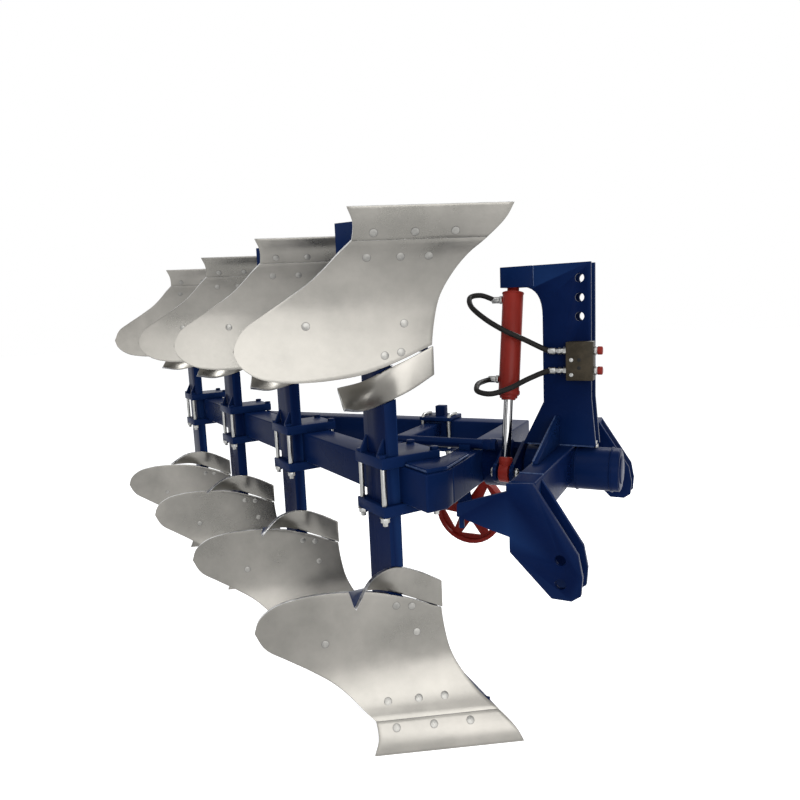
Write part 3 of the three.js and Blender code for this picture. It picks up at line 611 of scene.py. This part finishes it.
SHIN_BOTTOM = SHARE_TOP + SEAT
tail_edge = evenly(flowing([(SHIN_BOTTOM, SHARE_HEEL), (150, 405), (200, 425), (250, 475),
                            (295, 535), (340, 592), (400, 616)]))
upper_edge = evenly(flowing([(410, 0), (459, 115), (492, 222), (502, 293), (507, 380),
                             (503, 466), (484, 545), (445, 596), (400, 616)]))
trash_low = evenly(flowing([(20, LAND_Y, 413), (-40, -341, 447), (-104, -386, 479),
                            (-154, -449, 509), (-198, -533, 521)]))
trash_high = evenly(flowing([(20, LAND_Y, 505), (-39, -350, 550), (-90, -405, 578),
                             (-103, -530, 588), (-78, -686, 558)]))


def moldboard_face(u, v):
    """The moldboard, from its leading edge (u = 0) to its tail and from below to above."""
    if u < 0.5:
        low_z, low_s = SHIN_BOTTOM, 2 * u * SHARE_HEEL
    else:
        low_z, low_s = tail_edge(2 * u - 1)
    high_z, high_s = upper_edge(u)
    return on_body(low_z + (high_z - low_z) * v, low_s + (high_s - low_s) * v)


def share_face(u, v):
    return on_body(SHARE_TOP * v, (SHARE_WING + (SHARE_HEEL - SHARE_WING) * v) * u)


def trash_face(u, v):
    low, high = Vector(trash_low(u)), Vector(trash_high(u))
    return at(*low.lerp(high, v))


print("share tip at", share_face(0, 0))

# %% [markdown]
# Each sheet is bare steel in front, blue at the back, and much lighter along its cut edges, partly
# bare edge steel and partly a painted highlight. Solidify gives the back and the rim their own
# materials, and a small bevel rounds the edge.

# %% Sheets of the first lower body
PLATE = 10


def add_sheet(face, steps_u, steps_v, back_hint):
    """A bent plate: a grid laid over a surface, thickened away from its working face."""
    bpy.ops.mesh.primitive_grid_add(x_subdivisions=steps_u, y_subdivisions=steps_v, size=1)
    sheet = bpy.context.object
    for vertex in sheet.data.vertices:
        vertex.co = face(min(max(vertex.co.x + 0.5, 0), 1), min(max(vertex.co.y + 0.5, 0), 1))
    sheet.location = (0, 0, 0)
    outward(sheet)
    middle = sheet.data.polygons[len(sheet.data.polygons) // 2]
    if middle.normal.dot(back_hint) > 0:
        pick(sheet)
        bpy.ops.object.mode_set(mode="EDIT")
        bpy.ops.mesh.select_all(action="SELECT")
        bpy.ops.mesh.flip_normals()
        bpy.ops.object.mode_set(mode="OBJECT")
    # The rim material paints a highlight along every cut edge, on top of its bare steel.
    for finish in (steel, blue_back, bare_edge_with_highlight):
        sheet.data.materials.append(finish)
    pick(sheet)
    wall = sheet.modifiers.new("plate", "SOLIDIFY")
    wall.thickness = PLATE / 1000
    wall.offset = -1
    wall.material_offset = 1
    wall.material_offset_rim = 2
    bpy.ops.object.modifier_apply(modifier=wall.name)
    return round_edges(sheet, 1.2)


behind = on_body(200, 200, 10) - on_body(200, 200, 0)
first_sheets = {
    "moldboard": add_sheet(moldboard_face, 56, 28, behind),
    "share": add_sheet(share_face, 28, 10, behind),
    "trashboard": add_sheet(trash_face, 36, 12, behind),
}
print({name: len(sheet.data.polygons) for name, sheet in first_sheets.items()})

# %% [markdown]
# Plough bolts hold the sheets to the frog. Their heads are nearly flush, so only a thin ring
# shows round each one. Here every head is a low disc that stands 0.7 mm proud, square to the
# surface at its place, inside a slightly wider, darker and duller disc that stands half as high;
# its dark colour is painted shade for the groove round the head.

# %% Plough bolt heads
SHARE_BOLTS = ((72, 120), (72, 240), (72, 362))
MOLDBOARD_BOLTS = ((138, 118), (138, 204), (138, 306), (338, 96), (428, 100), (436, 152),
                   (334, 402))
HEAD_RADIUS = 12
HEAD_PROUD = 0.7
RIM_RADIUS = 12.9
RIM_PROUD = HEAD_PROUD / 2
DISC_SUNK = 0.003  # metres of each disc inside the plate


def add_disc(z, distance, radius, proud, edge):
    """A low disc on the body's face, square to it there and a little proud of it."""
    place = on_body(z, distance)
    uphill = on_body(z + 2, distance) - on_body(z - 2, distance)
    along = on_body(z, distance + 2) - on_body(z, distance - 2)
    out = along.cross(uphill).normalized()
    if out.dot(behind) > 0:
        out.negate()
    return add_bar(place - out * DISC_SUNK, place + out * proud / 1000, radius, 32, edge)


all_bolts = SHARE_BOLTS + MOLDBOARD_BOLTS
first_bolts = outward(join([add_disc(z, s, HEAD_RADIUS, HEAD_PROUD, 0.4) for z, s in all_bolts]))
# The wider dark discs are painted shade for the groove round each bolt head.
first_groove_shades = outward(join([add_disc(z, s, RIM_RADIUS, RIM_PROUD, 0) for z, s in all_bolts]))
print("bolt heads:", len(all_bolts))

# %% [markdown]
# The other seven bodies repeat the first one. Three stand further back along the slanted beam,
# and four are the same shapes mirrored through the level of the turnover axis.

# %% Copy the sheets to all eight bodies
BODY_COUNT = 4
BODY_PITCH = 781
BEAM_ANGLE = math.radians(32)
back = Vector((-math.cos(BEAM_ANGLE), math.sin(BEAM_ANGLE), 0))
near = Vector((-math.sin(BEAM_ANGLE), -math.cos(BEAM_ANGLE), 0))

for number in range(1, BODY_COUNT + 1):
    move = back * BODY_PITCH / 1000 * (number - 1)
    for side in ("lower", "upper"):
        over = side == "upper"
        for name, sheet in first_sheets.items():
            piece = copy_of(sheet, move, over)
            node = f"{name}_{side}_{number}"
            hand_over(piece, node + "_sheet", "plough_frame", None, [node], 50)
        bolts = copy_of(first_bolts, move, over)
        hand_over(bolts, f"plough_bolts_{side}_{number}", "plough_frame", [bolt_steel])
        groove_shades = copy_of(first_groove_shades, move, over)
        hand_over(groove_shades, f"bolt_groove_shades_{side}_{number}", "plough_frame", [groove_shade_finish])
for master in [*first_sheets.values(), first_bolts, first_groove_shades]:
    bpy.data.objects.remove(master)
print("bodies:", 2 * BODY_COUNT)

# %% [markdown]
# A clamp holds each leg to the slanted beam: a plate above and a plate below, and four long zinc
# rods with nuts underneath. Two pass on the leg's side and two behind the beam, and their painted
# heads lie on the top plate. Two triangular gussets stand on that plate against the leg's outer
# face. The clamp is modelled once at the first leg and copied along the beam.

# %% Clamps
BEAM_NEAR = (55, -465)
TUBE = 120
BEAM_TOP = AXIS_HEIGHT + TUBE / 2
BEAM_BOTTOM = AXIS_HEIGHT - TUBE / 2
LEG_ALONG = 225
LEG_LENGTH = 140
LEG_THICKNESS = 45
CLAMP_LENGTH = 180
CLAMP_PLATE = 36
CLAMP_MARGIN = 28
BOLT_SPACING = 146
BOLT_OUT = CLAMP_MARGIN / 2 + 2
GUSSETS = (-62, 50)  # along the beam from the middle of the leg
GUSSET_WIDTH = 12
GUSSET_REACH = 25
GUSSET_HEIGHT = 58


def on_beam(along, across, z):
    """A point by its distance along the main beam, across it to the near side, and height."""
    return at(*BEAM_NEAR, z) + (back * along + near * across) / 1000


def beam_turn(along, across, z):
    """A matrix that stands a piece of its own drawing at a place on the beam."""
    turn = Matrix((-back, -near, Vector((0, 0, 1)))).transposed().to_4x4()
    return Matrix.Translation(on_beam(along, across, z)) @ turn


def beam_block(along, across, z, edge=2.0):
    """A block between two values along the beam, across it and in height."""
    middle = [(a + b) / 2 for a, b in (along, across, z)]
    size = Vector(abs(b - a) / 1000 for a, b in (along, across, z))
    bpy.ops.mesh.primitive_cube_add(size=1, scale=size)
    block = settle(bpy.context.object)
    block.data.transform(beam_turn(*middle))
    return round_edges(block, edge)


def beam_wedge(along, thickness, start, reach, foot, height):
    """A triangular gusset that stands on the clamp against the leg."""
    block = beam_block((along, along + thickness), (start, start + reach), (foot, foot + height), 0)
    pick(block)
    bpy.ops.object.mode_set(mode="EDIT")
    bpy.ops.mesh.select_all(action="SELECT")
    low = on_beam(along, start + reach, foot + 8)
    high = on_beam(along, start, foot + height)
    normal = (high - low).cross(back)
    if normal.z < 0:
        normal.negate()
    bpy.ops.mesh.bisect(plane_co=low, plane_no=normal, use_fill=True, clear_outer=True)
    bpy.ops.object.mode_set(mode="OBJECT")
    return round_edges(block, 1.2)


def open_leg_room(plate):
    """Cuts the leg's slot out of a clamp plate."""
    room = beam_block((LEG_ALONG - LEG_LENGTH / 2 - 0.5, LEG_ALONG + LEG_LENGTH / 2 + 0.5),
                      (-0.2, LEG_THICKNESS + 0.8), (BEAM_BOTTOM - 90, BEAM_TOP + 90), 0)
    pick(plate)
    cut = plate.modifiers.new("slot", "BOOLEAN")
    cut.operation = "DIFFERENCE"
    cut.object = room
    bpy.ops.object.modifier_apply(modifier=cut.name)
    bpy.data.objects.remove(room)
    return plate


clamp_along = (LEG_ALONG - CLAMP_LENGTH / 2, LEG_ALONG + CLAMP_LENGTH / 2)
clamp_across = (-TUBE - CLAMP_MARGIN, LEG_THICKNESS + CLAMP_MARGIN)
top_z = (BEAM_TOP + SEAT, BEAM_TOP + SEAT + CLAMP_PLATE)
bottom_z = (BEAM_BOTTOM - SEAT - CLAMP_PLATE, BEAM_BOTTOM - SEAT)
clamp_parts = [open_leg_room(beam_block(clamp_along, clamp_across, z, 3))
               for z in (top_z, bottom_z)]
for offset in GUSSETS:
    clamp_parts.append(beam_wedge(LEG_ALONG + offset, GUSSET_WIDTH, LEG_THICKNESS + 1,
                                  GUSSET_REACH, top_z[1] - 1, GUSSET_HEIGHT))

rod_places = [(along, across)
              for across in (LEG_THICKNESS + BOLT_OUT, -TUBE - BOLT_OUT)
              for along in (LEG_ALONG - BOLT_SPACING / 2, LEG_ALONG + BOLT_SPACING / 2)]
millimetre_up = Vector((0, 0, 0.001))
for along, across in rod_places:
    seat = on_beam(along, across, top_z[1])
    clamp_parts.append(add_bar(seat, seat + 10 * millimetre_up, 15, 6, 1.2))
first_clamp = join(clamp_parts)
bolt_parts = []
for along, across in rod_places:
    foot = on_beam(along, across, bottom_z[0] - 29)
    head = on_beam(along, across, top_z[1] + 8)
    nut = on_beam(along, across, bottom_z[0] - 17)
    washer = nut + 16 * millimetre_up
    bolt_parts.append(add_bar(foot, head, 8.5, 20, 1))
    bolt_parts.append(add_bar(nut, washer, 15, 6, 1.2))
    bolt_parts.append(add_bar(washer, washer + millimetre_up, 18, 24, 0.3))
first_clamp_bolts = outward(join(bolt_parts))

for number in range(1, BODY_COUNT + 1):
    move = back * BODY_PITCH / 1000 * (number - 1)
    hand_over(copy_of(first_clamp, move), f"clamp_{number}_plates", "plough_frame", [blue],
              [f"clamp_{number}"])
    hand_over(copy_of(first_clamp_bolts, move), f"clamp_{number}_bolts", "plough_frame", [zinc])
for master in (first_clamp, first_clamp_bolts):
    bpy.data.objects.remove(master)
print("clamps at", [round(x, 3) for x in on_beam(LEG_ALONG, 0, BEAM_TOP)])

# %% [markdown]
# The turnover cylinder is a red barrel with a chromed rod. The rod ends in a red eye that sits
# between the two crank plates, on a pin with plain ends. A gland nut closes the barrel where the
# rod leaves it. Round parts are bars with softened rims, all on the cylinder's leaning line.

# %% Cylinder, rod and crank pin
CRANK_PLANE = 198
CRANK_RADIUS = 140
PIN_Z = 1490
ROD_TOP = 76
lean = math.asin(CRANK_RADIUS / math.hypot(CRANK_RADIUS, PIN_Z - AXIS_HEIGHT))
reach = math.hypot(CRANK_RADIUS, PIN_Z - AXIS_HEIGHT)


def on_cylinder(down, forward=0.0, side=0.0):
    """A point by its distance below the top pin along the leaning cylinder."""
    return at(CRANK_PLANE + forward, -down * math.sin(lean) + side * math.cos(lean),
              PIN_Z - down * math.cos(lean) - side * math.sin(lean))


gland = join([
    add_bar(on_cylinder(391), on_cylinder(405), 30, 32, 1.5),
    add_bar(on_cylinder(404), on_cylinder(411), 24, 32, 1.5),
    add_bar(on_cylinder(45), on_cylinder(50), 37, 32, 1.5),
    add_bar(on_cylinder(379), on_cylinder(393), 37.5, 32, 2),
])
hand_over(outward(gland), "cylinder_gland", "cylinder", [red])

rod = add_bar(on_cylinder(ROD_TOP + 155), on_cylinder(reach - 24), 15.8, 48, 1)
hand_over(rod, "chromed_rod", "rod", [chrome], ["cylinder_rod"])
eye = join([
    add_bar(on_cylinder(reach, -16.5), on_cylinder(reach, 16.5), 32, 48, 2.5),
    add_bar(on_cylinder(reach - 52), on_cylinder(reach - 22), 23, 32, 5),
])
hand_over(outward(eye), "rod_eye", "rod", [red])

pin_parts = []
for x0, x1, radius in ((153, 163, 17), (233, 242, 17), (150, 154, 12), (241, 244, 12)):
    pin_parts.append(add_bar(at(x0, -CRANK_RADIUS, AXIS_HEIGHT), at(x1, -CRANK_RADIUS, AXIS_HEIGHT),
                             radius, 32, 1.5))
hand_over(outward(join(pin_parts)), "crank_pin_ends", "plough_frame", [zinc])
top_pin = join([
    add_bar(at(158, 0, PIN_Z), at(166, 0, PIN_Z), 17, 32, 1.5),
    add_bar(at(276, 0, PIN_Z), at(284, 0, PIN_Z), 17, 32, 1.5),
])
hand_over(outward(top_pin), "top_pin_ends", "headstock", [zinc])
print("cylinder leans", round(math.degrees(lean), 1), "degrees")

# %% [markdown]
# A small valve block on the mast sends the oil to either end of the cylinder. It is a dark cast
# block with two bright screws and two port openings on its face, two zinc fittings towards the
# hoses and two red caps on the tractor's side. Each opening is a near-black disc of painted shade.

# %% Valve block
VALVE_Y = (-87.3, -42.3)
FITTING_Y = -64.8
FITTING_Z = (1250, 1186)
block = add_block((390, 476), VALVE_Y, (1155, 1280), 3)
hand_over(block, "valve_body", "headstock", [bronze], ["valve_block"])

fittings, caps = [], []
for z in FITTING_Z:
    for x0, x1, radius, sides in ((352, 390, 8.8, 24), (378, 390.5, 13.5, 6), (361, 371, 12.5, 6),
                                  (475.5, 489, 12, 24), (476, 483, 15.5, 6)):
        fittings.append(add_bar(at(x0, FITTING_Y, z), at(x1, FITTING_Y, z), radius, sides, 0.8))
    caps.append(add_bar(at(486, FITTING_Y, z), at(502, FITTING_Y, z), 13.5, 24, 2.5))
screws = [add_bar(at(x, VALVE_Y[0] + 2, z), at(x, VALVE_Y[0] - 3, z), 6.5, 20, 1)
          for x, z in ((408, 1222), (408, 1174))]
# Each port opening is a near-black disc: painted shade of the hole.
ports = [add_bar(at(x, VALVE_Y[0] + 2, z), at(x, VALVE_Y[0] - 0.6, z), 6, 20, 0.3)
         for x, z in ((432, 1222), (432, 1196))]
hand_over(outward(join(fittings + screws)), "valve_fittings", "headstock", [zinc])
hand_over(outward(join(caps)), "valve_caps", "headstock", [red])
hand_over(outward(join(ports)), "valve_port_shades", "headstock", [port_opening_shade])

# %% [markdown]
# Two rubber hoses join the valve to the cylinder. Each leaves its fitting straight, swings out
# in a loop and enters a port on the barrel. The barrel sways as the plough turns over, so on the
# machine each hose bends between the fixed mast and the barrel; here each hose is one fixed tube
# that rides on no body. Crimped steel ferrules hold both ends.

# %% Hoses
HOSE_RADIUS = 9
HOSE_LEAD = 12
HOSE_STEPS = 120
PORT_DOWN = {"upper": 68, "lower": 341}
PORT_REACH = 48
FITTING_END = 390 - 38 - 0.45


def hose_port(down):
    """Where a hose ends beside the barrel, at a distance below the top pin."""
    place = on_cylinder(down)
    return (CRANK_PLANE - PORT_REACH - 0.45, (place.y - shift_y) * 1000, place.z * 1000)


ROUTES = {
    "upper": [(FITTING_END, FITTING_Y, 1250), (320, -68, 1256), (260, -84, 1288),
              (190, -102, 1324), (125, -108, 1366), (76, -96, 1408), (64, -66, 1436),
              (92, -36, 1442), hose_port(PORT_DOWN["upper"])],
    "lower": [(FITTING_END, FITTING_Y, 1186), (325, -74, 1184), (272, -112, 1162),
              (222, -158, 1136), (168, -192, 1122), (126, -190, 1130), (112, -150, 1146),
              (116, -100, 1152), hose_port(PORT_DOWN["lower"])],
}
for name, route in ROUTES.items():
    first, last = route[0], route[-1]
    led = [first, (first[0] - HOSE_LEAD, *first[1:]), *route[1:-1],
           (last[0] - HOSE_LEAD, *last[1:]), last]
    smooth_route = evenly(flowing(led), 300)
    path = [at(*smooth_route(i / HOSE_STEPS)) for i in range(HOSE_STEPS + 1)]
    length = sum((b - a).length for a, b in zip(path, path[1:]))
    hose = add_tube(path, HOSE_RADIUS)
    hose.name = f"hose_{name}_cover"
    hose.data.materials.clear()
    hose.data.materials.append(rubber)
    outward(hose)
    pick(hose)
    bpy.ops.object.shade_smooth_by_angle(angle=math.radians(50))
    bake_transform(hose)
    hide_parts(f"hose_{name}")
    mast_end = add_bar(at(first[0] - 22, *first[1:]), at(first[0] + 2, *first[1:]), 11.5, 24, 1.5)
    hand_over(mast_end, f"ferrule_{name}_mast", "headstock", [zinc])
    port_end = join([
        add_bar(at(last[0] - 24, *last[1:]), at(last[0] + 3, *last[1:]), 11.5, 24, 1.5),
        add_bar(at(last[0] + 2, *last[1:]), at(last[0] + 12, *last[1:]), 14, 6, 1),
    ])
    hand_over(outward(port_end), f"ferrule_{name}_port", "cylinder", [zinc])
    print("hose", name, round(length, 3), "metres")

# %% [markdown]
# Welds hold the headstock together. A hand weld is a row of overlapping ripples, so each bead is
# a thin tube along its seam whose radius swells and shrinks every few millimetres. Its blue is
# lighter than the frame's.

# %% Weld beads
RIPPLE = 5


def add_weld(start, end, radius):
    """A rippled bead along a straight seam."""
    way = end - start
    count = max(int(way.length * 1000 / RIPPLE), 3) * 2
    points = [start + way * i / count for i in range(count + 1)]
    swell = [(1.0 if i % 2 else 0.78) * (0.94 + 0.1 * math.sin(2.3 * i)) for i in range(count + 1)]
    return add_tube(points, radius, swell)


WELD_RADIUS = 3.4
CROSS_TOP = 932.3
INNER = 42.3
weld_lines = []
for side in (-1, 1):
    weld_lines += [
        (at(345, side * (INNER + 2), CROSS_TOP + 98), at(345, side * (INNER + 292), CROSS_TOP + 9)),
        (at(344, side * (INNER + 1), CROSS_TOP + 1), at(344, side * (INNER + 294), CROSS_TOP + 1)),
        (at(250, side * (INNER + 1), CROSS_TOP + 1), at(470, side * (INNER + 1), CROSS_TOP + 1)),
        (at(334, side * 438, 932), at(402, side * 438, 932)),
        (at(333, side * 530, 820), at(333, side * 530, 930)),
        (at(276, side * 41, 1464), at(276, side * 41, 1529)),
    ]
root_welds = outward(join([add_weld(a, b, WELD_RADIUS) for a, b in weld_lines]))
hand_over(root_welds, "headstock_welds", "headstock", [weld_paint], angle=60)

gusset_top = BEAM_TOP + 14
frame_welds = [
    (at(92, -388, gusset_top - 6), at(92, -202, gusset_top - 6)),
    (on_beam(12, -8, gusset_top - 6), on_beam(126, -8, gusset_top - 6)),
    (at(12, -375, BEAM_TOP - 2), at(12, -375, BEAM_BOTTOM + 4)),
    (at(12, 443, BEAM_TOP), at(12, 443, BEAM_BOTTOM + 4)),
    (at(-281, 443, BEAM_TOP - 12), at(-349, 443, BEAM_TOP - 12)),
]
frame_weld_beads = outward(join([add_weld(a, b, WELD_RADIUS) for a, b in frame_welds]))
hand_over(frame_weld_beads, "frame_welds", "plough_frame", [weld_paint], angle=60)
print("weld seams:", len(weld_lines) + len(frame_welds))

# %% [markdown]
# The depth wheel's bracket is held to the side beam by two zinc U-bolts that hook over its top
# plate and run down the beam's near face, with nuts underneath. Each one is a rod bent over
# the plate's edge.

# %% U-bolts of the wheel bracket
U_BOLT_X = (-362, -238)
u_parts = []
for x in U_BOLT_X:
    bend = [(x, 520, 926), (x, 520, 934)]
    bend += [(x, 455, 936)]
    bend += [(x, 455 - 22 * math.sin(a), 914 + 22 * math.cos(a))
             for a in (math.pi / 2 * i / 8 for i in range(9))]
    bend += [(x, 433, 760)]
    u_parts.append(add_tube([at(*point) for point in bend], 8))
    for z in (768, 756):
        u_parts.append(add_bar(at(x, 433, z), at(x, 433, z + 11), 14, 6, 1))
hand_over(outward(join(u_parts)), "bracket_u_bolts", "plough_frame", [zinc])

# %% [markdown]
# The hub of the headstock ends in a flat cap with a turned step and has two raised bands, and a
# grease nipple stands on top of it. The strut that sets the front furrow ends in a thick collar
# and a locknut, and the wheel has a cap on either side. All are bars with softened rims.

# %% Hub cap, grease nipple, locknut and wheel caps
HUB_BANDS = ((546, 551, 66, 1.5), (549, 555, 46, 2), (520, 527, 75, 2), (408, 414, 75, 2))
cap = join([add_bar(at(x0, 0, AXIS_HEIGHT), at(x1, 0, AXIS_HEIGHT), radius, 64, edge)
            for x0, x1, radius, edge in HUB_BANDS])
hand_over(outward(cap), "hub_cap", "headstock", [blue])
nipple = join([
    add_bar(at(470, 0, 918), at(470, 0, 932), 8, 6, 0.8),
    add_bar(at(470, 0, 931), at(470, 0, 941), 4, 16, 0.8),
    add_bar(at(470, 0, 940), at(470, 0, 945), 5, 16, 1.5),
])
hand_over(outward(nipple), "grease_nipple", "headstock", [zinc])
STRUT_Y, STRUT_Z = -80, BEAM_TOP + 19.3
strut_nut = join([
    add_bar(at(132, STRUT_Y, STRUT_Z), at(150, STRUT_Y, STRUT_Z), 22, 6, 1.5),
    add_bar(at(104, STRUT_Y, STRUT_Z), at(133, STRUT_Y, STRUT_Z), 20, 32, 1.5),
])
hand_over(outward(strut_nut), "strut_nut", "plough_frame", [blue])
wheel_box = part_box("depth_wheel")
wheel_middle = (wheel_box[0] + wheel_box[1]) / 2
wheel_cap = join([add_bar(wheel_middle + Vector((0, y0, 0)), wheel_middle + Vector((0, y1, 0)),
                          30, 32, 2)
                  for y0, y1 in ((-0.034, -0.026), (0.026, 0.034))])
hand_over(outward(wheel_cap), "wheel_hub_caps", "wheel", [red])
